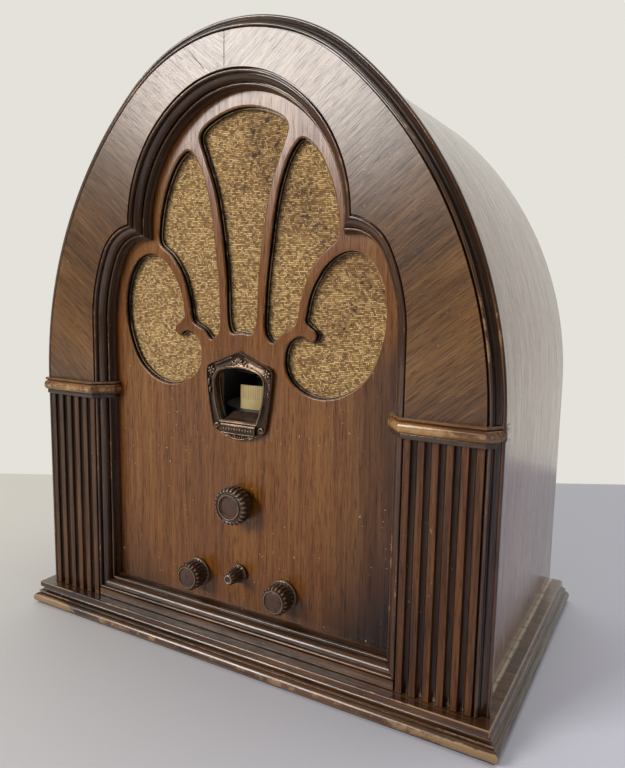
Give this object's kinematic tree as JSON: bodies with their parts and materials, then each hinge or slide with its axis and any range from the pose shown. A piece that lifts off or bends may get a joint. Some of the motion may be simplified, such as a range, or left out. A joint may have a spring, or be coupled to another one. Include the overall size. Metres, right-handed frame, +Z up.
{
  "type": "cathedral radio",
  "caption": "Arched wooden table radio with fretwork grille, dial window, four control knobs and a valve chassis with loudspeaker inside an open-backed case.",
  "frame": {"origin": "middle of the underside of the base", "axes": "+X to the right seen from the front, +Y to the back, +Z up"},
  "size_m": [0.42, 0.262, 0.4698],
  "materials": {
    "veneer": "gloss lacquer",
    "moulding": "gloss lacquer, near black",
    "panel": "gloss lacquer",
    "bare_wood": "unfinished",
    "cloth": "coarse gold tweed",
    "bronze": "dark antique bronze",
    "bakelite": "moulded brown",
    "brass": "turned",
    "rubber": "moulded",
    "plated_steel": "dull plating",
    "spun_metal": "dull",
    "black_enamel": "satin enamel",
    "scale_paper": "aged cream",
    "glass": "clear",
    "cone_paper": "pressed felted paper"
  },
  "bodies": {
    "cabinet": {"base_top_board": "moulding", "base_bottom_board": "bare_wood", "base_moulding_front": "moulding", "base_moulding_right": "moulding", "base_moulding_left": "moulding", "arch_frame": "veneer", "outer_edge_moulding": "moulding", "opening_moulding": "moulding", "sill_moulding": "moulding", "pilaster_right": "moulding", "pilaster_left": "moulding", "capital_right": "moulding", "capital_left": "moulding", "cabinet_wrap": "veneer", "front_panel": "panel", "grille_cloth": "cloth", "baffle_board": "bare_wood", "chassis_rail_right": "bare_wood", "chassis_rail_left": "bare_wood", "escutcheon": "bronze", "volume_control": "black_enamel", "tone_switch": "black_enamel", "power_switch": "black_enamel", "tuning_bracket": "plated_steel", "condenser_frame": "plated_steel", "stator_vanes": "spun_metal", "lamp_bracket": "plated_steel", "dial_lamp": "glass", "chassis": "plated_steel", "cord_grommet": "rubber", "power_transformer": "black_enamel", "output_valve_left_base": "bakelite", "output_valve_left_bulb": "glass", "output_valve_right_base": "bakelite", "output_valve_right_bulb": "glass", "rectifier_valve_base": "bakelite", "rectifier_valve_bulb": "glass", "valve_shield_1": "spun_metal", "valve_shield_2": "spun_metal", "valve_shield_3": "spun_metal", "coil_can": "spun_metal", "filter_can": "spun_metal", "speaker_basket": "black_enamel", "speaker_cone": "cone_paper", "field_coil": "black_enamel", "output_transformer": "black_enamel"},
    "tuner": {"drive_disc": "brass", "condenser_shaft": "plated_steel", "rotor_vanes": "spun_metal", "dial_drum": "black_enamel", "dial_scale": "scale_paper"},
    "tuning_control": {"tuning_knob": "bakelite", "tuning_shaft": "brass", "drive_roller": "rubber"},
    "volume_dial": {"volume_knob": "bakelite", "volume_shaft": "brass"},
    "tone_dial": {"tone_knob": "bakelite", "tone_shaft": "brass"},
    "switch_dial": {"switch_knob": "bakelite", "switch_shaft": "brass"}
  },
  "joints": [
    {"name": "dial_turn", "type": "hinge", "parent": "cabinet", "child": "tuner", "pos_m": [0, -0.047, 0.16], "axis": [0, 0, -1], "range_deg": [0, 180]},
    {"name": "tuning_turn", "type": "hinge", "parent": "cabinet", "child": "tuning_control", "pos_m": [0, -0.095, 0.1228], "axis": [0, -1, 0], "range_deg": [0, 1080]},
    {"name": "volume_turn", "type": "hinge", "parent": "cabinet", "child": "volume_dial", "pos_m": [-0.0405, -0.1, 0.0584], "axis": [0, 1, 0], "range_deg": [0, 300]},
    {"name": "tone_turn", "type": "hinge", "parent": "cabinet", "child": "tone_dial", "pos_m": [0.0405, -0.1, 0.0584], "axis": [0, 1, 0], "range_deg": [0, 90]},
    {"name": "switch_turn", "type": "hinge", "parent": "cabinet", "child": "switch_dial", "pos_m": [0, -0.1, 0.0663], "axis": [0, 1, 0], "range_deg": [0, 60]}
  ],
  "couplings": [
    {"joint": "tuning_turn", "follows": "dial_turn", "ratio": 6}
  ]
}
